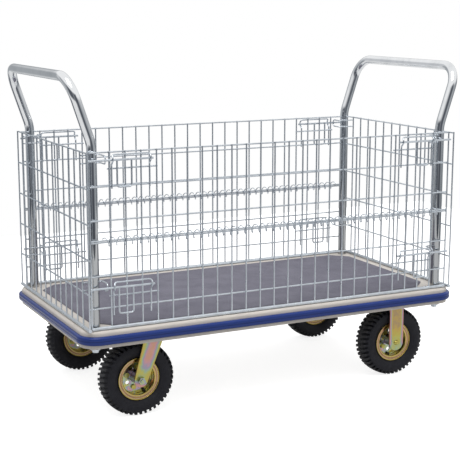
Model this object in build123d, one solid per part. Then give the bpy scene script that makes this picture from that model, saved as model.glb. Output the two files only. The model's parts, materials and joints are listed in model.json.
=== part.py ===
from build123d import *
import os
from math import ceil, cos, floor, hypot, pi, radians, sin, sqrt, tan

# Caged platform trolley, in millimetres. +Z is up and the floor is z = 0. +X runs along the length
# towards the fixed casters, and the front long side faces -Y.

# Clearances
seat_gap = 0.2
tube_gap = 0.3
run_gap = 0.05
press_gap = 0.02
side_gap = 0.1
slide_gap = 0.4
weld_sink = 0.6

# Tyre and tread
tyre_diameter = 218.0
tyre_width = 66.0
tyre_shoulder_drop = 9.0
tyre_shoulder_in = 3.0
tyre_tread_in = 8.0
tyre_crown_rise = 2.0
tyre_wall = 6.0
tyre_bead_drop = 3.0
tyre_inner_drop = 4.0
tyre_inner_in = 2.0
bead_width = 8.0
tread_wall = 12.0
lug_count = 44
lug_depth = 8.0
lug_gap = 7.0
lug_slant = 16.0
lug_fall = 20.0
tread_rib = 8.0

# Rim, hub and axle
rim_seat_diameter = 100.0
rim_flange_height = 12.5
rim_width = 44.0
rim_sheet = 2.2
rim_lip = 2.6
rim_bend = 3.1
rim_lip_bend = 1.3
rim_bolt_circle = 60.0
rim_bolt_diameter = 8.0
rim_bolt_across = 13.0
rim_bolt_head = 5.3
rim_bolt_nut = 6.5
rim_bolt_end = 1.5
rim_bolt_count = 4
rim_hole_diameter = 12.0
valve_diameter = 7.0
valve_bore = 2.5
valve_length = 9.0
tube_wall = 2.0
hub_wall = 2.5
bearing_diameter = 28.0
bearing_width = 8.0
axle_diameter = 12.0
axle_across = 19.0
axle_head = 8.0
axle_nut = 10.0
axle_end = 3.0
axle_dome = 17.0
axle_dome_height = 6.0
spacer_wall = 2.5
spacer_length = 8.0

# Caster forks and plates
fork_room = 5.0
fork_sheet = 5.0
swivel_trail = 42.0
swivel_leg_end = 40.0
crown_length = 58.0
crown_back = 31.0
crown_room = 6.0
crown_bend = 4.0
fixed_leg_width = 50.0
plate_edge = 15.0
plate_sheet = 5.0
plate_corner = 10.0
plate_bolt_spacing_x = 105.0
plate_bolt_spacing_y = 80.0
plate_bolt_diameter = 10.0
plate_bolt_across = 17.0
plate_bolt_head = 6.4
plate_bolt_nut = 8.0
plate_bolt_end = 4.0
bolt_hole_room = 0.5
ball_diameter = 8.0
ball_space = 1.7
ball_room = 0.3
race_radius = 28.0
race_width = 13.0
race_split = 2.0
race_height = 7.0
kingpin_diameter = 14.0
kingpin_foot_diameter = 24.0
kingpin_foot = 4.0

# Where the casters stand, from the cage's ends and sides
swivel_setback = 203.0
fixed_setback = 171.0
wheel_inset = 64.0
wheel_spin = 17.0

# Cage: distances between the planes of the upright wires
cage_length = 1198.0
cage_width = 608.0
lower_half_height = 242.0
upper_half_height = 244.0
upright_diameter = 4.5
row_diameter = 4.5
edge_diameter = 4.5
rail_diameter = 10.0
panel_end_gap = 10.5
side_bays = 23
side_end_bay = 1.25
lower_rows = (56.0, 146.0)
upper_rows = (58.0, 151.0)
end_bays = 11
end_row_spaces = 5

# Coil hinge
coil_wire = 3.0
coil_room = 0.3
coil_turns_per_bay = 2
coil_overrun = 0.45
coil_steps_per_turn = 4
hinge_room = 0.85
hinge_stub = 0.3

# Slide bolts and their guides
lower_bolt_height = 113.0
upper_bolt_height = 223.0
rod_diameter = 6.0
rod_length = 188.0
rod_tip_back = 7.0
pull_wire = 5.0
pull_place = 14.0
pull_width = 42.0
pull_drop = 74.0
pull_bend = 7.0
guide_wire = 4.5
guide_place = 6.7
guide_bays = 2.4
guide_rise = 14.5
guide_drop = 78.0
guide_bend = 6.0
guide_corner = 8.0
guide_shoulder_up = 6.0
guide_shoulder_down = 3.0
guide_return = 13.0
cross_wire_drop = 24.0
cross_wire_bays = 3
cross_wire_over = 4.0
keeper_wire = 4.0
keeper_reach = 16.0
keeper_half_height = 11.0
keeper_bend = 9.0
keeper_room = 1.5

# Deck
channel_depth = 24.0
channel_sheet = 3.0
channel_flange = 18.0
channel_end_room = 20.0
nut_room = 0.7
long_channel_width = 60.0
long_channel_spacing = 220.0
long_channel_end_gap = 2.0
pan_sheet = 2.0
pan_margin = 14.0
pan_corner = 48.0
pan_edge_radius = 8.0
skirt_depth = 48.0
skirt_lip = 12.0
bumper_height = 24.5
bumper_depth = 10.0
bumper_drop = 13.5
bumper_crown = 7.0
bumper_groove = 1.6
mat_thickness = 3.0
mat_margin = 36.0
mat_corner_cut = 52.0

# Handles
tube_diameter = 28.0
handle_wall = 2.0
leg_inset_x = 28.0
leg_inset_y = 25.0
handle_rise = 215.8
lean_angle = 18.5
lean_start = 20.0
lean_bend = 110.0
handle_corner = 66.0
plug_length = 18.0
socket_wall = 5.0
socket_depth = 53.0
socket_base = 3.0
foot_bolt_diameter = 10.0
foot_bolt_across = 17.0
foot_bolt_head = 8.0
foot_bolt_flange = 30.0
foot_bolt_flange_height = 3.5
foot_bolt_reach = 18.0

# Sizes of the caster that follow from its parts
fork_gap = tyre_width + 2 * fork_room
hub_length = fork_gap - 2 * spacer_length
hub_radius = bearing_diameter / 2 + hub_wall
rim_flange = rim_seat_diameter / 2 + rim_flange_height
bead_in = rim_width / 2 - tube_gap - bead_width
bead_top = rim_flange + tube_gap - tyre_bead_drop
valve_offset = (run_gap + rim_sheet + bead_in) / 2
plate_length = plate_bolt_spacing_x + 2 * plate_edge
plate_width = plate_bolt_spacing_y + 2 * plate_edge
cross_channel_width = plate_bolt_spacing_x + 2 * (plate_bolt_across / sqrt(3) + nut_room + channel_sheet)
ball_count = floor(2 * pi * race_radius / (ball_diameter + ball_space))

# Heights worked out from the floor up
axle_z = tyre_diameter / 2
crown_bottom = tyre_diameter + crown_room
crown_top = crown_bottom + fork_sheet
race_space = 2 * race_height + race_split
plate_bottom = crown_top + race_space
plate_top = plate_bottom + plate_sheet
pan_under = plate_top + channel_depth
deck_top = pan_under + pan_sheet
cage_base = deck_top + seat_gap + rail_diameter / 2
hinge_z = cage_base + lower_half_height
cage_top = hinge_z + upper_half_height

# Places worked out from the cage
end_x = cage_length / 2
side_y = cage_width / 2
leg_x = end_x - leg_inset_x
leg_y = side_y - leg_inset_y
pan_half_x = end_x + pan_margin
pan_half_y = side_y + pan_margin
swivel_x = swivel_setback - end_x
fixed_x = end_x - fixed_setback
wheel_y = side_y - wheel_inset
panel_half = end_x - panel_end_gap
bay = 2 * panel_half / (side_bays + 2 * side_end_bay)
first_upright = panel_half - side_end_bay * bay
row_step = (upright_diameter + row_diameter) / 2 - weld_sink
edge_step = (upright_diameter + edge_diameter) / 2 - weld_sink
row_y = side_y - row_step
edge_y = side_y - edge_step
hinge_y = side_y + upright_diameter / 2 + hinge_room
hinge_edge_rise = edge_diameter / 2 + hinge_stub
coil_radius = hypot(hinge_y - edge_y, hinge_edge_rise) + edge_diameter / 2 + coil_room + coil_wire / 2
coil_pitch = bay / coil_turns_per_bay
rod_y = side_y + upright_diameter / 2 + slide_gap + rod_diameter / 2
guide_out_y = rod_y + rod_diameter / 2 + slide_gap + guide_wire / 2
guide_x = first_upright - guide_place
guide_bar_y = side_y + (upright_diameter + guide_wire) / 2 + run_gap
guide_leg_y = row_y + (row_diameter + guide_wire) / 2 + run_gap
end_edge_y = rod_y + rod_diameter / 2 + slide_gap + upright_diameter / 2
keeper_y = leg_y - tube_diameter / 2 - tube_gap - keeper_wire / 2
keeper_x = leg_x - tube_diameter / 2 - keeper_reach
keeper_front_y = rod_y - rod_diameter / 2 - keeper_room - keeper_wire / 2


def half_turn(shape):
    return Rot(0, 0, 180) * shape


def wire_run(start, end, diameter):
    start = Vector(start)
    run = Vector(end) - start
    return Solid.make_cylinder(diameter / 2, run.length, Plane(origin=start, z_dir=run))


def bent_wire(points, radii, diameter):
    path = FilletPolyline(*points, radius=radii)
    section = Plane(origin=path @ 0, z_dir=path % 0) * Circle(diameter / 2)
    return sweep(section, path=path).solid()


def welded(pieces):
    return pieces[0].fuse(*pieces[1:]).solid()


def group(pieces):
    return Compound(children=[piece.solid() for piece in pieces])


def ring(outer, inner, bottom, top):
    return extrude(Circle(outer) - Circle(inner), top - bottom).moved(Pos(0, 0, bottom))


def rod(diameter, bottom, top):
    return Solid.make_cylinder(diameter / 2, top - bottom, Plane((0, 0, bottom)))


def rounded_slab(half_x, half_y, corner, bottom, top):
    return extrude(RectangleRounded(2 * half_x, 2 * half_y, corner), top - bottom).moved(Pos(0, 0, bottom))


# Deck

def deck_pan():
    skirt_bottom = deck_top - skirt_depth
    outer = rounded_slab(pan_half_x, pan_half_y, pan_corner, skirt_bottom, deck_top)
    outer = fillet(outer.faces().sort_by(Axis.Z)[-1].edges(), pan_edge_radius)
    inner = rounded_slab(pan_half_x - pan_sheet, pan_half_y - pan_sheet, pan_corner - pan_sheet, skirt_bottom,
                         pan_under)
    inner = fillet(inner.faces().sort_by(Axis.Z)[-1].edges(), pan_edge_radius - pan_sheet)
    lip = rounded_slab(pan_half_x - pan_sheet, pan_half_y - pan_sheet, pan_corner - pan_sheet, skirt_bottom,
                       skirt_bottom + pan_sheet)
    lip -= rounded_slab(pan_half_x - skirt_lip, pan_half_y - skirt_lip, pan_corner - skirt_lip, skirt_bottom,
                        skirt_bottom + pan_sheet)
    pan = outer - inner + lip
    hole = rod(tube_diameter + 2 * tube_gap, pan_under - pan_sheet, deck_top + pan_sheet)
    return (pan - [Pos(x, y, 0) * hole for x, y in leg_places()]).solid()


def leg_places():
    return [(x, y) for x in (-leg_x, leg_x) for y in (-leg_y, leg_y)]


def hat_profile(width):
    half = width / 2
    inner = half - channel_sheet
    web = -channel_depth + channel_sheet
    outline = [(-half - channel_flange, 0), (-inner, 0), (-inner, web), (inner, web), (inner, 0),
               (half + channel_flange, 0), (half + channel_flange, -channel_sheet), (half, -channel_sheet),
               (half, -channel_depth), (-half, -channel_depth), (-half, -channel_sheet),
               (-half - channel_flange, -channel_sheet)]
    return make_face(Polyline(*outline, close=True))


def plate_bolt_places(x):
    return [(x + dx, y + dy)
            for y in (-wheel_y, wheel_y)
            for dx in (-plate_bolt_spacing_x / 2, plate_bolt_spacing_x / 2)
            for dy in (-plate_bolt_spacing_y / 2, plate_bolt_spacing_y / 2)]


def cross_channel(x):
    reach = pan_half_y - pan_sheet - channel_end_room
    across = Plane(origin=(x, reach, pan_under), x_dir=(1, 0, 0), z_dir=(0, -1, 0))
    channel = extrude(across * hat_profile(cross_channel_width), 2 * reach)
    hole = rod(plate_bolt_diameter + 2 * bolt_hole_room, plate_top, plate_top + channel_sheet)
    return channel - [Pos(px, py, 0) * hole for px, py in plate_bolt_places(x)]


def long_channel(y):
    reach = cross_channel_width / 2 + channel_flange + long_channel_end_gap
    start = swivel_x + reach
    along = Plane(origin=(start, y, pan_under), x_dir=(0, 1, 0), z_dir=(1, 0, 0))
    return extrude(along * hat_profile(long_channel_width), fixed_x - reach - start)


def handle_socket(x, y):
    bore = tube_diameter / 2 + tube_gap
    bottom = pan_under - socket_depth
    cup = ring(bore + socket_wall, bore, bottom + socket_base, pan_under)
    base = ring(bore + socket_wall, foot_bolt_diameter / 2 + bolt_hole_room, bottom, bottom + socket_base)
    return Pos(x, y, 0) * (cup + base)


def deck_underframe():
    channels = [cross_channel(swivel_x), cross_channel(fixed_x)]
    channels += [long_channel(side * long_channel_spacing / 2) for side in (-1, 1)]
    return group(channels + [handle_socket(x, y) for x, y in leg_places()])


def deck_mat():
    sheet = Rectangle(2 * (end_x - mat_margin), 2 * (side_y - mat_margin))
    sheet = chamfer(sheet.vertices(), mat_corner_cut)
    return extrude(sheet, mat_thickness).moved(Pos(0, 0, deck_top)).solid()


def edge_bumper():
    top = deck_top - bumper_drop
    bottom = top - bumper_height
    reach = bumper_depth + seat_gap
    strip = rounded_slab(pan_half_x + reach, pan_half_y + reach, pan_corner + reach, bottom, top)
    rims = strip.faces().sort_by(Axis.Z)
    strip = fillet(rims[-1].edges() + rims[0].edges(), bumper_crown)
    strip -= rounded_slab(pan_half_x + seat_gap, pan_half_y + seat_gap, pan_corner + seat_gap, bottom, top)
    middle = (top + bottom) / 2
    groove = rounded_slab(pan_half_x + 2 * reach, pan_half_y + 2 * reach, pan_corner + 2 * reach,
                          middle - bumper_groove / 2, middle + bumper_groove / 2)
    keep = reach - bumper_groove
    groove -= rounded_slab(pan_half_x + keep, pan_half_y + keep, pan_corner + keep, bottom, top)
    return (strip - groove).solid()


# Handles

def handle(side):
    foot = pan_under - socket_depth + socket_base + seat_gap
    bend = cage_top + lean_start
    bar = cage_top + handle_rise - tube_diameter / 2
    lean = (bar - bend) * tan(radians(lean_angle))
    x = side * leg_x
    far = side * (leg_x + lean)
    route = [(x, -leg_y, foot), (x, -leg_y, bend), (far, -leg_y, bar)]
    route += [(far, leg_y, bar), (x, leg_y, bend), (x, leg_y, foot)]
    path = FilletPolyline(*route, radius=[lean_bend, handle_corner, handle_corner, lean_bend])
    bore = tube_diameter / 2 - handle_wall
    tube = sweep(Plane((x, -leg_y, foot)) * (Circle(tube_diameter / 2) - Circle(bore)), path=path)
    plug = ring(bore, foot_bolt_diameter / 2 + run_gap, foot, foot + plug_length)
    return (tube + [Pos(x, y, 0) * plug for y in (-leg_y, leg_y)]).solid()


def handle_foot_bolts():
    seat = pan_under - socket_depth
    flange = seat - foot_bolt_flange_height
    bolt = rod(foot_bolt_flange, flange, seat) + rod(foot_bolt_diameter, seat, seat + foot_bolt_reach)
    bolt += Pos(0, 0, flange) * (Rot(180, 0, 0) * hex_head(foot_bolt_across, foot_bolt_head))
    return group([Pos(x, y, 0) * bolt for x, y in leg_places()])


# Wire panels

def side_uprights(bottom, top):
    regular = [-first_upright + k * bay for k in range(side_bays + 1)]
    places = [-panel_half] + regular + [panel_half]
    return [wire_run((x, -side_y, bottom), (x, -side_y, top), upright_diameter) for x in places]


def side_rows(rows, edges):
    half = panel_half + upright_diameter / 2
    runs = [wire_run((-half, -row_y, z), (half, -row_y, z), row_diameter) for z in rows]
    return runs + [wire_run((-half, -edge_y, z), (half, -edge_y, z), edge_diameter) for z in edges]


def cross_wires(rod_z):
    z = rod_z - cross_wire_drop
    start = first_upright + cross_wire_over
    end = first_upright - cross_wire_bays * bay - cross_wire_over
    return [wire_run((side * start, -row_y, z), (side * end, -row_y, z), row_diameter) for side in (-1, 1)]


def side_panel_lower():
    uprights = side_uprights(cage_base, hinge_z - hinge_stub)
    rail = wire_run((-panel_half, -side_y, cage_base), (panel_half, -side_y, cage_base), rail_diameter)
    rows = side_rows([cage_base + z for z in lower_rows], [hinge_z - hinge_edge_rise])
    return welded([rail] + uprights + rows + cross_wires(cage_base + lower_bolt_height))


def side_panel_upper():
    uprights = side_uprights(hinge_z + hinge_stub, cage_top + edge_diameter / 2)
    rows = side_rows([hinge_z + z for z in upper_rows], [hinge_z + hinge_edge_rise, cage_top])
    return welded(rows + uprights + cross_wires(hinge_z + upper_bolt_height))


def keeper_loop(y_side, z):
    start = y_side * keeper_y
    front = y_side * keeper_front_y
    high = z + keeper_half_height
    low = z - keeper_half_height
    weld_x = end_x - upright_diameter / 2 - run_gap
    points = [(-weld_x, start, high), (-keeper_x, start, high), (-keeper_x, front, high)]
    points += [(-keeper_x, front, low), (-keeper_x, start, low), (-weld_x, start, low)]
    return bent_wire(points, [keeper_bend] * 4, keeper_wire)


def end_panel():
    inner = [-keeper_y + 2 * keeper_y * k / end_bays for k in range(end_bays + 1)]
    places = [-end_edge_y] + inner + [end_edge_y]
    top = cage_top + row_diameter / 2
    uprights = [wire_run((-end_x, y, cage_base), (-end_x, y, top), upright_diameter) for y in places]
    half = end_edge_y + upright_diameter / 2
    rail = wire_run((-end_x, -half, cage_base), (-end_x, half, cage_base), rail_diameter)
    space = (cage_top - cage_base) / end_row_spaces
    row_x = end_x - row_step
    levels = [cage_base + k * space for k in range(1, end_row_spaces + 1)]
    rows = [wire_run((-row_x, -half, z), (-row_x, half, z), row_diameter) for z in levels]
    heights = [cage_base + lower_bolt_height, hinge_z + upper_bolt_height]
    loops = [keeper_loop(y_side, z) for y_side in (-1, 1) for z in heights]
    return group([welded([rail] + uprights + rows)] + loops)


# Coil hinge: one wire wound round the two edge wires, at its innermost beside every regular upright

def coil_point(turns):
    angle = 2 * pi * turns
    x = -first_upright + coil_pitch * turns
    return Vector(x, -hinge_y + coil_radius * cos(angle), hinge_z + coil_radius * sin(angle))


def coil_tangent(turns):
    angle = 2 * pi * turns
    return Vector(coil_pitch / (2 * pi), -coil_radius * sin(angle), coil_radius * cos(angle)).normalized()


def biarc(start, start_tangent, end, end_tangent):
    chord = end - start
    a = 2 * start_tangent.dot(end_tangent) - 2
    b = -2 * chord.dot(start_tangent + end_tangent)
    c = chord.dot(chord)
    reach = (-b - sqrt(b * b - 4 * a * c)) / (2 * a)
    first = start + start_tangent * reach
    second = end - end_tangent * reach
    middle = (first + second) * 0.5
    into = Edge.make_tangent_arc(start, start_tangent, middle)
    return [into, Edge.make_tangent_arc(middle, second - first, end)]


def coil_hinge():
    first = -coil_overrun * coil_turns_per_bay
    last = (side_bays + coil_overrun) * coil_turns_per_bay
    count = ceil((last - first) * coil_steps_per_turn)
    stops = [first + (last - first) * k / count for k in range(count + 1)]
    arcs = []
    for here, there in zip(stops, stops[1:]):
        arcs += biarc(coil_point(here), coil_tangent(here), coil_point(there), coil_tangent(there))
    path = Wire(arcs)
    section = Plane(origin=path @ 0, z_dir=path % 0) * Circle(coil_wire / 2)
    coil = sweep(section, path=path).solid()
    samples = 96
    next_turn = [coil_point(0.5 + k / samples) for k in range(samples + 1)]
    gap = min((point - coil_point(0)).length for point in next_turn) - coil_wire
    swept = pi * coil_wire ** 2 / 4 * path.length
    print("coil turns", round(last - first, 2), "least gap between turns", round(gap, 2))
    print("coil volume over section times length", round(coil.volume / swept, 4))
    return coil


# Slide bolts, made at the left end of the front and turned or mirrored to the other places

def slide_bolt(rod_z):
    tip = -end_x + rod_tip_back
    bar = wire_run((tip, -rod_y, rod_z), (tip + rod_length, -rod_y, rod_z), rod_diameter)
    left = -guide_x + pull_place
    right = left + pull_width
    low = rod_z - pull_drop
    points = [(left, -rod_y, rod_z), (left, -rod_y, low), (right, -rod_y, low), (right, -rod_y, rod_z)]
    return welded([bar, bent_wire(points, [pull_bend] * 2, pull_wire)])


def bolt_guide(rod_z):
    right = guide_bays * bay - guide_x
    leg = [(guide_leg_y, -guide_drop), (guide_leg_y, -guide_return), (guide_out_y, -guide_shoulder_down),
           (guide_out_y, guide_shoulder_up), (guide_bar_y, guide_rise)]
    points = [(-guide_x, -y, rod_z + z) for y, z in leg]
    points += [(right, -y, rod_z + z) for y, z in reversed(leg)]
    return bent_wire(points, [guide_bend] * 3 + [guide_corner] * 2 + [guide_bend] * 3, guide_wire)


def mirrored(shape):
    return mirror(shape, about=Plane.YZ)


# Casters. A wheel is made with its axle along Y at the origin and its outer side towards -Y.

def tyre():
    r = tyre_diameter / 2
    seat = rim_seat_diameter / 2 + tube_gap
    half = tyre_width / 2
    tread = half - tyre_tread_in
    bead = rim_width / 2 - tube_gap
    rim_top = rim_flange + tube_gap
    shoulder = r - tyre_shoulder_drop
    shoulder_half = half - tyre_shoulder_in
    crown = r - tread_wall
    inner_r = crown - tyre_inner_drop
    inner_half = tread - tyre_inner_in
    swell = (rim_top + shoulder) / 2
    edge = r - tyre_crown_rise
    outline = [Line((seat, bead - rim_bend), (seat + rim_bend, bead)),
               Line((seat + rim_bend, bead), (rim_top, bead)),
               ThreePointArc((rim_top, bead), (swell, half), (shoulder, shoulder_half)),
               Line((shoulder, shoulder_half), (edge, tread)),
               ThreePointArc((edge, tread), (r, 0), (edge, -tread)),
               Line((edge, -tread), (shoulder, -shoulder_half)),
               ThreePointArc((shoulder, -shoulder_half), (swell, -half), (rim_top, -bead)),
               Line((rim_top, -bead), (seat + rim_bend, -bead)),
               Line((seat + rim_bend, -bead), (seat, rim_bend - bead)),
               Line((seat, rim_bend - bead), (seat, -bead_in)), Line((seat, -bead_in), (bead_top, -bead_in)),
               ThreePointArc((bead_top, -bead_in), (swell, tyre_wall - half), (inner_r, -inner_half)),
               ThreePointArc((inner_r, -inner_half), (crown, 0), (inner_r, inner_half)),
               ThreePointArc((inner_r, inner_half), (swell, half - tyre_wall), (bead_top, bead_in)),
               Line((bead_top, bead_in), (seat, bead_in)), Line((seat, bead_in), (seat, bead - rim_bend))]
    carcass = revolve(make_face(outline), Axis.Y)
    notch = Rot(lug_slant, 0, 0) * Rot(0, 0, -lug_fall) * Box(2 * lug_depth, half, lug_gap)
    notch = Pos(r, -(half + tread_rib) / 2, 0) * notch
    step = 360 / lug_count
    cuts = [Rot(0, k * step, 0) * notch for k in range(lug_count)]
    cuts += [Rot(0, step / 2, 0) * half_turn(cut) for cut in cuts]
    return (carcass - cuts).solid()


def valve_run(end, diameter):
    start = rim_seat_diameter / 2 - valve_length
    stem = wire_run((start, -valve_offset, 0), (end, -valve_offset, 0), diameter)
    return Rot(0, 180 / rim_bolt_count, 0) * stem


def inner_tube():
    crown = tyre_diameter / 2 - tread_wall - tube_gap
    section = min((crown - bead_top) / 2, tyre_width / 2 - tyre_wall - tube_gap)
    middle = crown - section
    tube = revolve(Plane.XY * Pos(middle, 0) * Circle(section), Axis.Y) + valve_run(middle, valve_diameter)
    tube -= revolve(Plane.XY * Pos(middle, 0) * Circle(section - tube_wall), Axis.Y)
    return (tube - valve_run(middle, valve_bore)).solid()


def along_axle(shape):
    return Rot(90, 0, 0) * shape


def spread(count, radius, shape, start=0.0):
    return [Rot(0, 0, start + 360 * k / count) * Pos(radius, 0, 0) * shape for k in range(count)]


def rim_half():
    half_sheet = rim_sheet / 2
    disc = run_gap + half_sheet
    hub_edge = hub_radius + seat_gap + half_sheet
    seat = rim_seat_diameter / 2 - half_sheet
    wall = rim_width / 2 + half_sheet
    top = rim_flange - half_sheet
    route = [(hub_edge, -disc), (seat, -disc), (seat, -wall), (top, -wall), (top, -wall - rim_lip)]
    middle = FilletPolyline(*route, radius=[rim_bend, rim_bend, rim_lip_bend])
    rim = revolve(make_face(offset(middle, amount=half_sheet, side=Side.BOTH)), Axis.Y)
    bolt_hole = rod(rim_bolt_diameter + 2 * seat_gap, 0, 2 * rim_sheet)
    round_hole = rod(rim_hole_diameter, 0, 2 * rim_sheet)
    holes = spread(rim_bolt_count, rim_bolt_circle / 2, bolt_hole)
    holes += spread(rim_bolt_count, rim_bolt_circle / 2, round_hole, 180 / rim_bolt_count)
    return (rim - [along_axle(hole) for hole in holes]).solid()


def rim_outer():
    hole = valve_run(rim_seat_diameter / 2 + rim_sheet, valve_diameter + 2 * bolt_hole_room)
    return (rim_half() - hole).solid()


def rim_inner():
    return Rot(180, 0, 0) * rim_half()


def hub_bearings():
    half = hub_length / 2
    inside = half - bearing_width
    bore = axle_diameter / 2 + run_gap
    hub = ring(hub_radius, bearing_diameter / 2, -half, half)
    outer = bearing_diameter / 2 - press_gap
    bearings = [ring(outer, bore, low, low + bearing_width) for low in (-half, inside)]
    spacer = ring(bore + spacer_wall, bore, -inside, inside)
    return group([along_axle(piece) for piece in [hub, spacer] + bearings])


def rim_bolts():
    disc = run_gap + rim_sheet
    bolt = hex_head(rim_bolt_across, rim_bolt_head).moved(Pos(0, 0, disc))
    far = -disc - rim_bolt_nut
    bolt += rod(rim_bolt_diameter, far - rim_bolt_end, disc)
    nut = hex_nut(rim_bolt_across, rim_bolt_nut, rim_bolt_diameter).moved(Pos(0, 0, far))
    pieces = [piece for pair in (bolt, nut) for piece in spread(rim_bolt_count, rim_bolt_circle / 2, pair)]
    return group([along_axle(piece) for piece in pieces])


def hex_head(across, height):
    corner = across / sqrt(3)
    bevel = corner - across / 2
    blank = chamfer(rod(2 * corner, 0, height).edges().sort_by(Axis.Z)[-1], length=bevel / 2, length2=bevel)
    return extrude(RegularPolygon(across / 2, 6, major_radius=False), height) & blank


def hex_nut(across, height, diameter):
    return hex_head(across, height) - rod(diameter + 2 * run_gap, 0, height)


def axle_parts(head):
    reach = fork_gap / 2 + fork_sheet
    bore = axle_diameter / 2 + run_gap
    nut = hex_nut(axle_across, axle_nut, axle_diameter)
    shank = rod(axle_diameter, -reach - axle_nut - axle_end, reach)
    bolt = shank + head.moved(Pos(0, 0, reach))
    nut = Rot(180, 0, 0) * nut.moved(Pos(0, 0, reach))
    low = hub_length / 2 + side_gap
    high = fork_gap / 2 - side_gap
    spacers = [ring(bore + spacer_wall, bore, low, high), ring(bore + spacer_wall, bore, -high, -low)]
    return [along_axle(piece) for piece in [bolt, nut] + spacers]


def dome_head():
    rise = axle_dome_height
    half = axle_dome / 2
    radius = (half * half + rise * rise) / (2 * rise)
    return Pos(0, 0, rise - radius) * Sphere(radius) & rod(axle_dome, 0, rise)


def swivel_fork():
    half = fork_gap / 2 + fork_sheet
    front = crown_length - crown_back
    middle = (front - crown_back) / 2
    height = crown_top - fork_sheet / 2
    crown = Pos(middle, 0, height) * Box(crown_length, 2 * half, fork_sheet)
    end = Pos(-swivel_trail, axle_z) * Circle(swivel_leg_end / 2)
    top = Pos(middle, height) * Rectangle(crown_length, fork_sheet)
    side = make_hull(end.edges() + top.edges())
    side -= Pos(-swivel_trail, axle_z) * Circle(axle_diameter / 2 + run_gap)
    leg = extrude(Plane.XZ * side, fork_sheet)
    fork = crown + [Pos(0, y, 0) * leg for y in (half, fork_sheet - half)]
    fork = fillet(fork.faces().sort_by(Axis.Z)[-1].edges().filter_by(Axis.X), crown_bend)
    boss_top = crown_top + race_height
    fork += ring(race_radius + race_width / 2, kingpin_diameter / 2 + run_gap, crown_top, boss_top)
    fork -= rod(kingpin_diameter + 2 * run_gap, crown_bottom, crown_top)
    return (fork - ball_groove()).solid()


def ball_groove():
    track_z = crown_top + race_space / 2
    return Pos(0, 0, track_z) * Torus(race_radius, ball_diameter / 2 + ball_room)


def caster_plate():
    plate = rounded_slab(plate_length / 2, plate_width / 2, plate_corner, plate_bottom, plate_top)
    hole = rod(plate_bolt_diameter + 2 * bolt_hole_room, plate_bottom, plate_top)
    spots = [(x, y) for x in (-plate_bolt_spacing_x / 2, plate_bolt_spacing_x / 2)
             for y in (-plate_bolt_spacing_y / 2, plate_bolt_spacing_y / 2)]
    return plate - [Pos(x, y, 0) * hole for x, y in spots]


def swivel_top_plate():
    boss_bottom = plate_bottom - race_height
    boss = ring(race_radius + race_width / 2, race_radius - race_width / 2, boss_bottom, plate_bottom)
    plate = caster_plate() + boss
    plate -= rod(kingpin_diameter + 2 * run_gap, plate_bottom, plate_top)
    return plate - ball_groove()


def kingpin():
    foot_top = crown_bottom - tube_gap
    pin = rod(kingpin_foot_diameter, foot_top - kingpin_foot, foot_top)
    return pin + rod(kingpin_diameter, foot_top, plate_top)


def race_balls():
    ball = Pos(0, 0, crown_top + race_space / 2) * Sphere(ball_diameter / 2)
    return spread(ball_count, race_radius, ball)


def swivel_places():
    return [Pos(swivel_x, y, 0) for y in (-wheel_y, wheel_y)]


def swivel_top_plates():
    return group([place * swivel_top_plate() for place in swivel_places()])


def swivel_bearings():
    return group([place * piece for place in swivel_places() for piece in [kingpin()] + race_balls()])


def fixed_fork():
    half = fork_gap / 2 + fork_sheet
    tall = plate_top - plate_sheet / 2 - axle_z
    side = Pos(0, axle_z + tall / 2) * Rectangle(fixed_leg_width, tall)
    side += Pos(0, axle_z) * Circle(fixed_leg_width / 2)
    side -= Pos(0, axle_z) * Circle(axle_diameter / 2 + run_gap)
    leg = extrude(Plane.XZ * side, fork_sheet)
    return (caster_plate() + [Pos(0, y, 0) * leg for y in (half, fork_sheet - half)]).solid()


def caster_bolts():
    head = plate_bottom - run_gap
    seat = plate_top + channel_sheet + run_gap
    end = seat + plate_bolt_nut + plate_bolt_end
    bolt = Pos(0, 0, head) * (Rot(180, 0, 0) * hex_head(plate_bolt_across, plate_bolt_head))
    bolt += rod(plate_bolt_diameter, head, end)
    nut = Pos(0, 0, seat) * hex_nut(plate_bolt_across, plate_bolt_nut, plate_bolt_diameter)
    places = plate_bolt_places(swivel_x) + plate_bolt_places(fixed_x)
    return group([Pos(x, y, 0) * piece for x, y in places for piece in (bolt, nut)])


def fixed_axles():
    pieces = axle_parts(dome_head())
    front = Pos(fixed_x, -wheel_y, axle_z)
    back = Pos(fixed_x, wheel_y, axle_z)
    return group([front * piece for piece in pieces] + [back * half_turn(piece) for piece in pieces])


def swivel_axle(y_side):
    pieces = axle_parts(hex_head(axle_across, axle_head))
    place = Pos(swivel_x - swivel_trail, y_side * wheel_y, axle_z)
    if y_side < 0:
        return group([place * half_turn(piece) for piece in pieces])
    return group([place * piece for piece in pieces])


def write(name, shape):
    export_step(shape, "parts/" + name + ".step")


os.makedirs("parts", exist_ok=True)

write("deck_pan", deck_pan())
write("deck_underframe", deck_underframe())
write("deck_mat", deck_mat())
write("edge_bumper", edge_bumper())
write("handle_left", handle(-1))
write("handle_right", handle(1))
write("handle_foot_bolts", handle_foot_bolts())

left_end = end_panel()
write("end_panel_left", left_end)
write("end_panel_right", half_turn(left_end))
front_lower = side_panel_lower()
write("side_panel_front_lower", front_lower)
write("side_panel_back_lower", half_turn(front_lower))
front_upper = side_panel_upper()
write("side_panel_front_upper", front_upper)
write("side_panel_back_upper", half_turn(front_upper))
front_coil = coil_hinge()
write("coil_hinge_front", front_coil)
write("coil_hinge_back", half_turn(front_coil))

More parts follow.
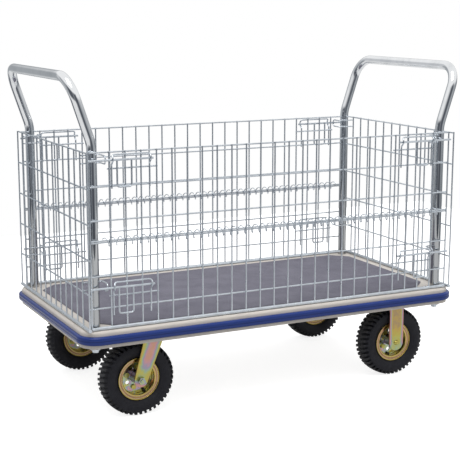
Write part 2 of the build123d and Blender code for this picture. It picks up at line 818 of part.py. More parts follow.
lower_z = cage_base + lower_bolt_height
upper_z = hinge_z + upper_bolt_height
lower_guides = [bolt_guide(lower_z), mirrored(bolt_guide(lower_z))]
upper_guides = [bolt_guide(upper_z), mirrored(bolt_guide(upper_z))]
write("bolt_guides_lower", group(lower_guides + [half_turn(guide) for guide in lower_guides]))
write("bolt_guides_front_upper", group(upper_guides))
write("bolt_guides_back_upper", group([half_turn(guide) for guide in upper_guides]))
for level, height in (("lower", lower_z), ("upper", upper_z)):
    left_bolt = slide_bolt(height)
    right_bolt = mirrored(left_bolt)
    write("slide_bolt_front_left_" + level, left_bolt)
    write("slide_bolt_front_right_" + level, right_bolt)
    write("slide_bolt_back_left_" + level, half_turn(right_bolt))
    write("slide_bolt_back_right_" + level, half_turn(left_bolt))

write("swivel_top_plates", swivel_top_plates())
write("swivel_bearings", swivel_bearings())
write("caster_bolts", caster_bolts())
write("fixed_axles", fixed_axles())
left_fork = swivel_fork()
right_fork = fixed_fork()
for side, y_side in (("front", -1), ("back", 1)):
    write("swivel_fork_" + side, Pos(swivel_x, y_side * wheel_y, 0) * left_fork)
    write("fixed_fork_" + side, Pos(fixed_x, y_side * wheel_y, 0) * right_fork)
    write("swivel_axle_" + side, swivel_axle(y_side))

wheel_parts = {"tyre": tyre(), "inner_tube": inner_tube(), "rim_outer": rim_outer(), "rim_inner": rim_inner(),
               "hub_bearings": hub_bearings(), "rim_bolts": rim_bolts()}
wheels = (("left_front", swivel_x - swivel_trail, -1), ("left_back", swivel_x - swivel_trail, 1),
          ("right_front", fixed_x, -1), ("right_back", fixed_x, 1))
for spin, (wheel, x, y_side) in enumerate(wheels, 1):
    place = Pos(x, y_side * wheel_y, axle_z) * Rot(0, 0, 90 + 90 * y_side) * Rot(0, spin * wheel_spin, 0)
    for name, piece in wheel_parts.items():
        write(wheel + "_" + name, place * piece)
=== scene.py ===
import json
import math
import bpy
import bmesh
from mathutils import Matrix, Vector


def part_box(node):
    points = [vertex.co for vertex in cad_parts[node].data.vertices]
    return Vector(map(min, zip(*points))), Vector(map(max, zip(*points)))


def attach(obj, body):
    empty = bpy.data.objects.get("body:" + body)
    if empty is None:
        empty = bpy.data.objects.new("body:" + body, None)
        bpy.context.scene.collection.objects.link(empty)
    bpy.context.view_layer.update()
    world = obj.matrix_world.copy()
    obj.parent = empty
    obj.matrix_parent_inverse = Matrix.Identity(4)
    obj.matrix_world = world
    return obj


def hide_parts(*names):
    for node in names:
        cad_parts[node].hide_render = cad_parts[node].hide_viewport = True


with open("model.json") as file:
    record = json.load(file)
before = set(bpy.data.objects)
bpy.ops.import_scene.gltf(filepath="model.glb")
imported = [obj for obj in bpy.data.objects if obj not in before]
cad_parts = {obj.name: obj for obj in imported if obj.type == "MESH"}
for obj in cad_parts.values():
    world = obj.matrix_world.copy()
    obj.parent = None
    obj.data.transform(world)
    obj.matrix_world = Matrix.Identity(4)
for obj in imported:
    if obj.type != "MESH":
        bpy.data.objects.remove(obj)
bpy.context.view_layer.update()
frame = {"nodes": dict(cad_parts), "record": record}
nodes = frame["nodes"]
bodies = frame["record"]["behaviour"]["bodies"]
bodyOf = {node: body for body, members in bodies.items() for node in members}
scene = bpy.context.scene


# Node helpers shared by the groups and the materials

def addNode(tree, kind, inputs=None, **settings):
    node = tree.nodes.new(kind)
    for name, value in settings.items():
        setattr(node, name, value)
    for name, value in (inputs or {}).items():
        node.inputs[name].default_value = value
    return node


def wire(tree, source, output, target, socket):
    tree.links.new(source.outputs[output], target.inputs[socket])


def newGroup(name, sockets):
    tree = bpy.data.node_groups.new(name, "ShaderNodeTree")
    for direction, label, kind, value in sockets:
        socket = tree.interface.new_socket(name=label, in_out=direction, socket_type=kind)
        if value is not None:
            socket.default_value = value
    return tree, tree.nodes.new("NodeGroupInput"), tree.nodes.new("NodeGroupOutput")


def mathNode(tree, operation, first=None, second=None):
    node = addNode(tree, "ShaderNodeMath", operation=operation)
    for index, value in ((0, first), (1, second)):
        if isinstance(value, (int, float)):
            node.inputs[index].default_value = value
        elif value is not None:
            tree.links.new(value, node.inputs[index])
    return node.outputs[0]


def fillRamp(ramp, stops):
    while len(ramp.elements) < len(stops):
        ramp.elements.new(0.5)
    for element, (place, colour) in zip(ramp.elements, stops):
        element.position = place
        element.color = (*colour, 1)


# Grain: an even noise that can be stretched along the way a surface was drawn or rolled

def makeGrain():
    tree, source, sink = newGroup("surfaceGrain", [
        ("INPUT", "Scale", "NodeSocketFloat", 200.0),
        ("INPUT", "Stretch", "NodeSocketVector", (1, 1, 1)),
        ("INPUT", "Detail", "NodeSocketFloat", 3.0),
        ("OUTPUT", "Value", "NodeSocketFloat", None)])
    place = addNode(tree, "ShaderNodeTexCoord")
    stretch = addNode(tree, "ShaderNodeVectorMath", operation="MULTIPLY")
    noise = addNode(tree, "ShaderNodeTexNoise")
    wire(tree, place, "Object", stretch, 0)
    wire(tree, source, "Stretch", stretch, 1)
    wire(tree, stretch, "Vector", noise, "Vector")
    wire(tree, source, "Scale", noise, "Scale")
    wire(tree, source, "Detail", noise, "Detail")
    wire(tree, noise, "Fac", sink, "Value")
    return tree


# Patches: soft blotches for rubbed, dusty or smudged places

patchNoise = {"Detail": 5.0, "Roughness": 0.6, "Distortion": 0.4}


def makePatches():
    tree, source, sink = newGroup("rubbedPatches", [
        ("INPUT", "Scale", "NodeSocketFloat", 20.0),
        ("INPUT", "Cover", "NodeSocketFloat", 0.5),
        ("INPUT", "Softness", "NodeSocketFloat", 0.15),
        ("OUTPUT", "Mask", "NodeSocketFloat", None)])
    place = addNode(tree, "ShaderNodeTexCoord")
    wide = addNode(tree, "ShaderNodeTexNoise", patchNoise)
    wire(tree, place, "Object", wide, "Vector")
    wire(tree, source, "Scale", wide, "Scale")
    start = mathNode(tree, "SUBTRACT", 1.0, source.outputs["Cover"])
    low = mathNode(tree, "SUBTRACT", start, source.outputs["Softness"])
    high = mathNode(tree, "ADD", start, source.outputs["Softness"])
    fade = addNode(tree, "ShaderNodeMapRange", interpolation_type="SMOOTHSTEP")
    wire(tree, wide, "Fac", fade, "Value")
    tree.links.new(low, fade.inputs["From Min"])
    tree.links.new(high, fade.inputs["From Max"])
    wire(tree, fade, "Result", sink, "Mask")
    return tree


# Passivation film: its thickness decides the colour, from straw through green and pink to brown

film = dict(
    stops=[(0.0, (0.40, 0.29, 0.17)), (0.12, (0.53, 0.38, 0.11)), (0.25, (0.50, 0.46, 0.12)),
           (0.36, (0.35, 0.46, 0.31)), (0.47, (0.34, 0.33, 0.43)), (0.60, (0.57, 0.31, 0.34)),
           (0.78, (0.60, 0.34, 0.19)), (0.90, (0.42, 0.26, 0.12)), (1.0, (0.22, 0.14, 0.07))],
    noise={"Detail": 6.0, "Roughness": 0.64, "Distortion": 0.8}, noiseMiddle=0.5)


def makeFilm():
    tree, source, sink = newGroup("zincFilm", [
        ("INPUT", "Thickness", "NodeSocketFloat", 0.3),
        ("INPUT", "Patch Scale", "NodeSocketFloat", 30.0),
        ("INPUT", "Patch Amount", "NodeSocketFloat", 0.4),
        ("OUTPUT", "Color", "NodeSocketColor", None)])
    place = addNode(tree, "ShaderNodeTexCoord")
    noise = addNode(tree, "ShaderNodeTexNoise", film["noise"])
    wire(tree, place, "Object", noise, "Vector")
    wire(tree, source, "Patch Scale", noise, "Scale")
    centred = mathNode(tree, "SUBTRACT", noise.outputs["Fac"], film["noiseMiddle"])
    patch = mathNode(tree, "MULTIPLY", centred, source.outputs["Patch Amount"])
    total = mathNode(tree, "ADD", patch, source.outputs["Thickness"])
    ramp = addNode(tree, "ShaderNodeValToRGB")
    fillRamp(ramp.color_ramp, film["stops"])
    tree.links.new(total, ramp.inputs["Fac"])
    wire(tree, ramp, "Color", sink, "Color")
    return tree


grainGroup = makeGrain()
patchGroup = makePatches()
filmGroup = makeFilm()
print("shared node groups made")


# Material helpers: each look names its colours, its span of roughness and its bump

def newMaterial(name, **constants):
    material = bpy.data.materials.new(name)
    material.use_nodes = True
    shader = material.node_tree.nodes["Principled BSDF"]
    for label, value in constants.items():
        shader.inputs[label].default_value = value
    return material, material.node_tree, shader


def placeGroup(tree, group, **inputs):
    return addNode(tree, "ShaderNodeGroup", inputs, node_tree=group)


def placePatches(tree, look):
    patches = placeGroup(tree, patchGroup, Scale=look["patchScale"], Cover=look["cover"],
                         Softness=look["softness"])
    return patches.outputs["Mask"]


def placeGrain(tree, look):
    grain = placeGroup(tree, grainGroup, Scale=look["grainScale"], Detail=look["grainDetail"],
                       Stretch=look.get("stretch", (1, 1, 1)))
    return grain.outputs["Value"]


def splitPlace(tree, system):
    place = addNode(tree, "ShaderNodeTexCoord")
    split = addNode(tree, "ShaderNodeSeparateXYZ")
    wire(tree, place, system, split, "Vector")
    return split.outputs


def mixColours(tree, mask, first, second):
    mix = addNode(tree, "ShaderNodeMix", data_type="RGBA")
    tree.links.new(mask, mix.inputs["Factor"])
    for label, value in (("A", first), ("B", second)):
        socket = [s for s in mix.inputs if s.name == label and s.type == "RGBA"][0]
        if isinstance(value, tuple):
            socket.default_value = (*value, 1)
        else:
            tree.links.new(value, socket)
    return [s for s in mix.outputs if s.type == "RGBA"][0]


def spanValue(tree, value, low, high):
    span = addNode(tree, "ShaderNodeMapRange", {"To Min": low, "To Max": high})
    tree.links.new(value, span.inputs["Value"])
    return span.outputs["Result"]


def smoothSpan(tree, value, start, end, first=0, last=1):
    limits = {"From Min": start, "From Max": end, "To Min": first, "To Max": last}
    span = addNode(tree, "ShaderNodeMapRange", limits, interpolation_type="SMOOTHSTEP")
    tree.links.new(value, span.inputs["Value"])
    return span.outputs["Result"]


def finishLook(tree, shader, look, colour, shine, height):
    tree.links.new(colour, shader.inputs["Base Color"])
    tree.links.new(spanValue(tree, shine, *look["gloss"]), shader.inputs["Roughness"])
    bump = addNode(tree, "ShaderNodeBump", {"Strength": look["bump"], "Distance": look["depth"]})
    tree.links.new(height, bump.inputs["Height"])
    wire(tree, bump, "Normal", shader, "Normal")


# Cream enamel: slight orange peel, and a duller, greyer tone in patches

enamel = dict(colour=(0.56, 0.52, 0.475), tired=(0.50, 0.465, 0.43), sheen=0.3,
              gloss=(0.40, 0.56), patchScale=9.0, cover=0.45, softness=0.2,
              grainScale=420.0, grainDetail=1.0, bump=0.25, depth=0.00015)


def makeEnamel():
    material, tree, shader = newMaterial("creamEnamel", **{"Specular IOR Level": enamel["sheen"]})
    patches, peel = placePatches(tree, enamel), placeGrain(tree, enamel)
    colour = mixColours(tree, patches, enamel["colour"], enamel["tired"])
    finishLook(tree, shader, enamel, colour, patches, peel)
    return material


# Grey vinyl mat: a fine crosswise texture on its ribs, and paler where it is rubbed

vinylMat = dict(colour=(0.128, 0.124, 0.160), rubbed=(0.172, 0.168, 0.206), gloss=(0.62, 0.78),
                patchScale=14.0, cover=0.5, softness=0.25,
                grainScale=900.0, grainDetail=2.0, stretch=(1, 0.3, 1), bump=0.5, depth=0.0004)


def makeVinylMat():
    material, tree, shader = newMaterial("greyVinyl")
    patches, cross = placePatches(tree, vinylMat), placeGrain(tree, vinylMat)
    colour = mixColours(tree, patches, vinylMat["colour"], vinylMat["rubbed"])
    finishLook(tree, shader, vinylMat, colour, cross, cross)
    return material


# Blue vinyl strip: extruded, so its streaks run along the strip

blueVinyl = dict(colour=(0.008, 0.027, 0.155), streak=(0.012, 0.036, 0.195), sheen=0.3,
                 gloss=(0.14, 0.27), grainScale=60.0, grainDetail=4.0, stretch=(0.15, 0.15, 6.0),
                 bump=0.2, depth=0.0003)


def makeBlueVinyl():
    material, tree, shader = newMaterial("blueVinyl", **{"Specular IOR Level": blueVinyl["sheen"]})
    streaks = placeGrain(tree, blueVinyl)
    colour = mixColours(tree, streaks, blueVinyl["colour"], blueVinyl["streak"])
    finishLook(tree, shader, blueVinyl, colour, streaks, streaks)
    return material


# Plated metals: chrome, bright zinc on wire and bolts, ground steel

# the chrome's foot colour is painted shade: it darkens a leg towards its foot
platings = dict(
    polishedChrome=dict(colour=(0.80, 0.815, 0.83), dull=(0.66, 0.68, 0.70), gloss=(0.035, 0.11),
                        grainScale=90.0, stretch=(1, 1, 0.08), depth=0.00004, patchScale=16.0,
                        cover=0.4, footShadeColour=(0.42, 0.43, 0.44), footShadeSpan=(0.38, 0.80)),
    zincWire=dict(colour=(0.64, 0.685, 0.73), dull=(0.53, 0.57, 0.615), gloss=(0.26, 0.46),
                  grainScale=500.0, depth=0.0001, patchScale=38.0, cover=0.5),
    zincBolts=dict(colour=(0.66, 0.68, 0.70), dull=(0.50, 0.52, 0.55), gloss=(0.24, 0.42),
                   grainScale=700.0, depth=0.0001, patchScale=80.0, cover=0.5),
    groundSteel=dict(colour=(0.42, 0.43, 0.45), dull=(0.30, 0.31, 0.33), gloss=(0.28, 0.45),
                     grainScale=600.0, stretch=(1, 6, 1), depth=0.0001, patchScale=90.0,
                     cover=0.5))
platingGrain = dict(softness=0.2, grainDetail=2.0, bump=0.2)


def makePlating(name):
    plating = dict(platingGrain, **platings[name])
    material, tree, shader = newMaterial(name, Metallic=1.0)
    patches, grain = placePatches(tree, plating), placeGrain(tree, plating)
    colour = mixColours(tree, patches, plating["colour"], plating["dull"])
    if "footShadeSpan" in plating:  # painted shade: darker towards the foot of a leg
        above = smoothSpan(tree, splitPlace(tree, "Object")["Z"], *plating["footShadeSpan"])
        colour = mixColours(tree, above, plating["footShadeColour"], colour)
    both = mathNode(tree, "MULTIPLY", patches, grain)
    finishLook(tree, shader, plating, colour, both, grain)
    return material


# Yellow zinc: on a fork leg the film changes from its edges to its middle and from top to foot,
# on a rim it swirls over the disc, and bright and brown rings round the lip are painted highlight
# and painted shade

yellowZincs = dict(
    swivelForkZinc=dict(patchScale=60.0, patchAmount=0.42, gloss=(0.30, 0.44)),
    fixedForkZinc=dict(patchScale=90.0, patchAmount=0.34, gloss=(0.30, 0.44)),
    rimZinc=dict(patchScale=58.0, gloss=(0.10, 0.22)),
    plateZinc=dict(thickness=0.22, patchScale=22.0, patchAmount=0.5, gloss=(0.28, 0.42)),
    nutZinc=dict(thickness=0.40, patchScale=130.0, patchAmount=0.9, gloss=(0.14, 0.24)))
yellowGrain = dict(grainScale=420.0, grainDetail=2.0, bump=0.2, depth=0.0001)


def setOrLink(tree, value, socket):
    if isinstance(value, (int, float)):
        socket.default_value = value
    else:
        tree.links.new(value(tree), socket)


def makeYellowZinc(name, **varied):
    look = {**yellowGrain, **yellowZincs[name], **varied}
    material, tree, shader = newMaterial(name, Metallic=1.0)
    colours = placeGroup(tree, filmGroup, **{"Patch Scale": look["patchScale"]})
    setOrLink(tree, look["thickness"], colours.inputs["Thickness"])
    setOrLink(tree, look["patchAmount"], colours.inputs["Patch Amount"])
    grain = placeGrain(tree, look)
    finishLook(tree, shader, look, colours.outputs["Color"], grain, grain)
    return material


# Film on a fork leg: its widths are in metres, its falls are shares of the leg's length

forkLegs = dict(
    swivel=dict(topInset=0.030, halfWidth=0.026, core=0.15, fall=(0.50, 0.88),
                edge=0.17, upper=0.70, lower=0.28, tip=0.72),
    fixed=dict(halfWidth=0.024, core=0.55, fall=(0.55, 0.95),
               edge=0.66, upper=0.04, lower=0.26, tip=0.33))
legBorder = dict(fall=(0.06, 0.14), top=0.20, tipBefore=0.004, tipAfter=0.020)


def lineDistance(tree, place, point, direction):
    offX = mathNode(tree, "SUBTRACT", place["X"], point[0])
    offZ = mathNode(tree, "SUBTRACT", place["Z"], point[1])
    return mathNode(tree, "ADD", mathNode(tree, "MULTIPLY", offX, direction[0]),
                    mathNode(tree, "MULTIPLY", offZ, direction[1]))


def legThickness(top, foot, leg):
    # seen from the side: distance from the leg's middle line, and distance down the leg
    length = (Vector(foot) - Vector(top)).length
    along = (Vector(foot) - Vector(top)).normalized()
    fall = [share * length for share in leg["fall"]]
    borderFall = [share * length for share in legBorder["fall"]]
    tipSpan = [length - legBorder["tipBefore"], length + legBorder["tipAfter"]]

    def build(tree):
        place = splitPlace(tree, "Object")
        away = mathNode(tree, "ABSOLUTE", lineDistance(tree, place, top, (along.y, -along.x)))
        inside = smoothSpan(tree, away, leg["core"] * leg["halfWidth"], leg["halfWidth"], 1, 0)
        down = lineDistance(tree, place, top, along)
        middle = smoothSpan(tree, down, *fall, leg["upper"], leg["lower"])
        border = smoothSpan(tree, down, *borderFall, legBorder["top"], leg["edge"])
        rise = mathNode(tree, "MULTIPLY", mathNode(tree, "SUBTRACT", middle, border), inside)
        shaft = mathNode(tree, "ADD", rise, border)
        end = smoothSpan(tree, down, *tipSpan)
        toTip = mathNode(tree, "MULTIPLY", mathNode(tree, "SUBTRACT", leg["tip"], shaft), end)
        return mathNode(tree, "ADD", shaft, toTip)
    return build


def axleDistance(tree, diameter):
    # how far a place on a wheel is from its axle, whichever wheel it is
    place = addNode(tree, "ShaderNodeTexCoord")
    centred = addNode(tree, "ShaderNodeVectorMath", operation="SUBTRACT")
    centred.inputs[1].default_value = (0.5, 0.5, 0.5)
    wire(tree, place, "Generated", centred, 0)
    scaled = addNode(tree, "ShaderNodeVectorMath", operation="MULTIPLY")
    scaled.inputs[1].default_value = (diameter, 0, diameter)
    wire(tree, centred, "Vector", scaled, 0)
    length = addNode(tree, "ShaderNodeVectorMath", operation="LENGTH")
    wire(tree, scaled, "Vector", length, 0)
    return length.outputs["Value"]


# Film on a rim: a swirling disc, then a bright bend, a browner gutter and a bright lip, which are
# painted highlight and painted shade rings standing in for the rolled lip's reflections
# Each span is two distances from the axle, then the value at each of them

rimFilmWithPaintedRings = dict(bend=(0.043, 0.049, 0.42, 0.14), gutter=(0.0515, 0.0530, 0.0, 0.80),
               lip=(0.0575, 0.0600, 0.0, 0.80), patches=(0.042, 0.050, 1.7, 0.22))
rimLow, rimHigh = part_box("left_front_rim_outer")
rimDiameter = rimHigh.z - rimLow.z


# painted highlight rings at the bend and the lip, and a painted shade ring in the gutter, laid over
# the film's colour
def rimThicknessWithPaintedRings(tree):
    distance = axleDistance(tree, rimDiameter)
    bend, gutter, lip = [smoothSpan(tree, distance, *rimFilmWithPaintedRings[k]) for k in ("bend", "gutter", "lip")]
    return mathNode(tree, "SUBTRACT", mathNode(tree, "ADD", bend, gutter), lip)


def rimPatches(tree):
    return smoothSpan(tree, axleDistance(tree, rimDiameter), *rimFilmWithPaintedRings["patches"])


# Rubber: near black, a little paler and drier in patches
# A tyre has fine moulded rings on its sides, and its lug faces are greyer: partly wear, partly a
# painted highlight on the lug tops

rubbers = dict(
    tyreRubber=dict(colour=(0.005, 0.005, 0.009), dry=(0.011, 0.0115, 0.017), sheen=0.3,
                    gloss=(0.46, 0.70), grainScale=260.0, depth=0.0006, patchScale=30.0,
                    cover=0.45),
    tubeRubber=dict(colour=(0.012, 0.012, 0.012), dry=(0.022, 0.022, 0.022), sheen=0.5,
                    gloss=(0.45, 0.6), grainScale=500.0, depth=0.0002, patchScale=40.0,
                    cover=0.4))
rubberGrain = dict(softness=0.22, grainDetail=4.0, grainShare=0.5, bump=0.6)
sideRings = dict(pitch=0.0042, start=0.071, end=0.093, fade=0.003, share=0.8)
wornAndLitLugs = dict(colour=(0.034, 0.034, 0.038), start=0.1025, end=0.1075)
wheelLow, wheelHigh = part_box("left_front_tyre")


def makeRubber(name, ringed):
    rubber = dict(rubberGrain, **rubbers[name])
    material, tree, shader = newMaterial(name, **{"Specular IOR Level": rubber["sheen"]})
    patches, grain = placePatches(tree, rubber), placeGrain(tree, rubber)
    colour = mixColours(tree, patches, rubber["colour"], rubber["dry"])
    height = mathNode(tree, "MULTIPLY", grain, rubber["grainShare"])
    if ringed:
        distance = axleDistance(tree, wheelHigh.z - wheelLow.z)
        # greyer lug faces: partly wear, partly a painted highlight on the lug tops
        wornAndLit = smoothSpan(tree, distance, wornAndLitLugs["start"], wornAndLitLugs["end"])
        colour = mixColours(tree, wornAndLit, colour, wornAndLitLugs["colour"])
        turns = mathNode(tree, "MULTIPLY", distance, 2 * math.pi / sideRings["pitch"])
        start, end, fade = sideRings["start"], sideRings["end"], sideRings["fade"]
        begin = smoothSpan(tree, distance, start, start + fade)
        stop = smoothSpan(tree, distance, end, end + fade, 1, 0)
        sides = mathNode(tree, "MULTIPLY", begin, stop)
        rings = mathNode(tree, "MULTIPLY", mathNode(tree, "SINE", turns), sides)
        rings = mathNode(tree, "MULTIPLY", rings, sideRings["share"])
        height = mathNode(tree, "ADD", height, rings)
    finishLook(tree, shader, rubber, colour, grain, height)
    return material


creamEnamel = makeEnamel()
greyVinyl = makeVinylMat()
blueVinylStrip = makeBlueVinyl()
polishedChrome = makePlating("polishedChrome")
zincWire = makePlating("zincWire")
zincBolts = makePlating("zincBolts")
groundSteel = makePlating("groundSteel")
tyreRubber = makeRubber("tyreRubber", True)
tubeRubber = makeRubber("tubeRubber", False)

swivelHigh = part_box("swivel_fork_front")[1]
fixedLow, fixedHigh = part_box("fixed_fork_front")
axleHeight = (wheelLow.z + wheelHigh.z) / 2
swivelTop = (swivelHigh.x - forkLegs["swivel"]["topInset"], swivelHigh.z)
swivelFoot = ((wheelLow.x + wheelHigh.x) / 2, axleHeight)
fixedMiddleX = (fixedLow.x + fixedHigh.x) / 2
fixedTop, fixedFoot = (fixedMiddleX, fixedHigh.z), (fixedMiddleX, axleHeight)
swivelZinc = makeYellowZinc("swivelForkZinc",
                            thickness=legThickness(swivelTop, swivelFoot, forkLegs["swivel"]))
fixedZinc = makeYellowZinc("fixedForkZinc",
                           thickness=legThickness(fixedTop, fixedFoot, forkLegs["fixed"]))
rimZinc = makeYellowZinc("rimZinc", thickness=rimThicknessWithPaintedRings, patchAmount=rimPatches)
plateZinc = makeYellowZinc("plateZinc")
nutZinc = makeYellowZinc("nutZinc")
print("materials made")


# Tubes: every wire is a run of straight lengths, with its bends as arcs of their real radius

tubes = dict(roundness=4, bendSteps=6, endHandle=0.001)


def bendCorner(before, corner, after, radius):
    into = (corner - before).normalized()
    out = (after - corner).normalized()
    turn = into.angle(out)
    cut = radius * math.tan(turn / 2)
    pull = 4 / 3 * math.tan(turn / 4) * radius  # the handle length that makes a round arc
    return [(corner - into * cut, into, None, pull), (corner + out * cut, out, pull, None)]


def addRun(curve, points, radii):
    points = [Vector(p) for p in points]
    if not radii:
        spline = curve.splines.new("POLY")
        spline.points.add(len(points) - 1)
        for spot, place in zip(spline.points, points):
            spot.co = (*place, 1)
        return
    knots = [(points[0], (points[1] - points[0]).normalized(), None, None)]
    for index, radius in enumerate(radii, 1):
        knots += bendCorner(points[index - 1], points[index], points[index + 1], radius)
    knots.append((points[-1], (points[-1] - points[-2]).normalized(), None, None))
    spline = curve.splines.new("BEZIER")
    spline.bezier_points.add(len(knots) - 1)
    gaps = [(two[0] - one[0]).length / 3 for one, two in zip(knots, knots[1:])]
    gaps = [tubes["endHandle"], *gaps, tubes["endHandle"]]
    for index, spot in enumerate(spline.bezier_points):
        place, heading, back, ahead = knots[index]
        spot.handle_left_type = spot.handle_right_type = "FREE"
        spot.co = place
        spot.handle_left = place - heading * (back or gaps[index])
        spot.handle_right = place + heading * (ahead or gaps[index + 1])


def tubeMesh(name, diameter, runs, roundness=tubes["roundness"], bendSteps=tubes["bendSteps"]):
    curve = bpy.data.curves.new(name, "CURVE")
    curve.dimensions = "3D"
    curve.bevel_depth = diameter / 2
    curve.bevel_resolution = roundness
    curve.resolution_u = bendSteps
    curve.use_fill_caps = True
    for points, radii in runs:
        addRun(curve, points, radii)
    holder = bpy.data.objects.new(name, curve)
    mesh = bpy.data.meshes.new_from_object(holder)
    bpy.data.objects.remove(holder)
    bpy.data.curves.remove(curve)
    return mesh


def joinMeshes(name, parts):
    whole = bmesh.new()
    for part in parts:
        whole.from_mesh(part)
        bpy.data.meshes.remove(part)
    mesh = bpy.data.meshes.new(name)
    bmesh.ops.recalc_face_normals(whole, faces=whole.faces)
    whole.to_mesh(mesh)
    whole.free()
    return mesh


# Pieces: each is smoothed but for its sharp edges, rides a body and stands in for a node

shading = dict(sharpAngle=40)


def smoothPiece(mesh):
    mesh.shade_smooth()
    sharp = math.radians(shading["sharpAngle"])
    edges = bmesh.new()
    edges.from_mesh(mesh)
    for edge in edges.edges:
        if len(edge.link_faces) == 2 and edge.calc_face_angle() > sharp:
            edge.smooth = False
    edges.to_mesh(mesh)
    edges.free()


def placePiece(name, mesh, material, slotName, body, *replaced):
    smoothPiece(mesh)
    mesh.materials.clear()
    mesh.materials.append(material)
    piece = bpy.data.objects.new(name, mesh)
    scene.collection.objects.link(piece)
    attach(piece, body)
    if replaced:
        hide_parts(*replaced)


def weldSpots(name, places, size):
    spots = bmesh.new()
    for place in places:
        made = bmesh.ops.create_icosphere(spots, subdivisions=1, radius=size)
        bmesh.ops.translate(spots, verts=made["verts"], vec=place)
    mesh = bpy.data.meshes.new(name)
    spots.to_mesh(mesh)
    spots.free()
    return mesh


def turnRuns(runs):
    return [([(-x, -y, z) for x, y, z in points], radii) for points, radii in runs]


def flipRuns(runs):
    return [([(-x, y, z) for x, y, z in points], radii) for points, radii in runs]


def straight(start, end):
    return ([start, end], None)


# Cage: welded wire panels, their places read from the frame and their wires from the settings

cage = dict(uprightWire=0.0045, rowWire=0.0045, edgeWire=0.0045, railWire=0.010, railRoundness=8,
            weldSink=0.0006, weldSize=0.0023, hingeStub=0.0003, sideBays=23, sideEndBay=1.25,
            lowerRows=(0.056, 0.146), upperRows=(0.058, 0.151), endBays=11, endRows=5,
            lowerBolt=0.113, upperBolt=0.223, crossDrop=0.024, crossBays=3, crossOver=0.004)

lowerLow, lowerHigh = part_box("side_panel_front_lower")
upperLow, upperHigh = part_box("side_panel_front_upper")
endLow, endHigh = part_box("end_panel_left")
cageBase = lowerLow.z + cage["railWire"] / 2
hingeHeight = upperLow.z - cage["hingeStub"]
cageTop = upperHigh.z - cage["edgeWire"] / 2
panelHalf = lowerHigh.x - cage["uprightWire"] / 2
sideY = -lowerLow.y - cage["railWire"] / 2
endX = -endLow.x - cage["railWire"] / 2
endHalf = endHigh.y
bay = 2 * panelHalf / (cage["sideBays"] + 2 * cage["sideEndBay"])
firstUpright = panelHalf - cage["sideEndBay"] * bay
rowY = sideY - (cage["uprightWire"] + cage["rowWire"]) / 2 + cage["weldSink"]
edgeY = sideY - (cage["uprightWire"] + cage["edgeWire"]) / 2 + cage["weldSink"]
edgeRise = cage["edgeWire"] / 2 + cage["hingeStub"]
lowerRod = cageBase + cage["lowerBolt"]
upperRod = hingeHeight + cage["upperBolt"]
innerPlaces = [k * bay - firstUpright for k in range(cage["sideBays"] + 1)]
uprightPlaces = [-panelHalf, *innerPlaces, panelHalf]


def sideWires(bottom, top, levels, edgeLevels, rodHeight):
    half = panelHalf + cage["uprightWire"] / 2
    uprights = [straight((x, -sideY, bottom), (x, -sideY, top)) for x in uprightPlaces]
    start = firstUpright + cage["crossOver"]
    end = firstUpright - cage["crossBays"] * bay - cage["crossOver"]
    crossHeight = rodHeight - cage["crossDrop"]
    rows = [straight((-half, -rowY, z), (half, -rowY, z)) for z in levels]
    rows += [straight((s * start, -rowY, crossHeight), (s * end, -rowY, crossHeight))
             for s in (-1, 1)]
    edges = [straight((-half, -edgeY, z), (half, -edgeY, z)) for z in edgeLevels]
    between = -(sideY + rowY) / 2
    spots = [(x, between, z) for x in uprightPlaces for z in [*levels, *edgeLevels]]
    spots += [(s * (firstUpright - k * bay), between, crossHeight) for s in (-1, 1)
              for k in range(cage["crossBays"] + 1)]
    return uprights, rows, edges, spots


def sidePanel(name, node, lower, back):
    if lower:
        levels = [cageBase + z for z in cage["lowerRows"]]
        wires = sideWires(cageBase, hingeHeight - cage["hingeStub"], levels,
                          [hingeHeight - edgeRise], lowerRod)
        rail = [straight((-panelHalf, -sideY, cageBase), (panelHalf, -sideY, cageBase))]
    else:
        levels = [hingeHeight + z for z in cage["upperRows"]]
        wires = sideWires(hingeHeight + cage["hingeStub"], cageTop + cage["edgeWire"] / 2, levels,
                          [hingeHeight + edgeRise, cageTop], upperRod)
        rail = []
    uprights, rows, edges, spots = wires
    if back:
        uprights, rows, edges, rail = [turnRuns(runs) for runs in (uprights, rows, edges, rail)]
        spots = [(-x, -y, z) for x, y, z in spots]
    parts = [tubeMesh(name + "Uprights", cage["uprightWire"], uprights),
             tubeMesh(name + "Rows", cage["rowWire"], rows),
             tubeMesh(name + "Edges", cage["edgeWire"], edges),
             weldSpots(name + "Welds", spots, cage["weldSize"])]
    if rail:
        parts.append(tubeMesh(name + "Rail", cage["railWire"], rail, cage["railRoundness"]))
    placePiece(name, joinMeshes(name, parts), zincWire, "wire_zinc", bodyOf[node], node)


sidePanel("frontLowerPanel", "side_panel_front_lower", True, False)
sidePanel("backLowerPanel", "side_panel_back_lower", True, True)
sidePanel("frontUpperPanel", "side_panel_front_upper", False, False)
sidePanel("backUpperPanel", "side_panel_back_upper", False, True)
print("side panels made")


# End panels, with the loops that hold the panel to the handle's legs and keep the bolts

keeper = dict(wire=0.004, halfHeight=0.011, bend=0.009, legReach=0.016, room=0.0015,
              runGap=0.00005)
bolt = dict(rod=0.006, rodRoundness=6, slideGap=0.0004, tipBack=0.007, length=0.188,
            pullWire=0.005, pullRoundness=5, pullPlace=0.014, pullWidth=0.042, pullDrop=0.074,
            pullBend=0.007)
handleTube = dict(diameter=0.028, roundness=14, bendSteps=16, insetX=0.028, insetY=0.025,
                  room=0.0003, lean=18.5, leanStart=0.020, leanBend=0.110, corner=0.066)

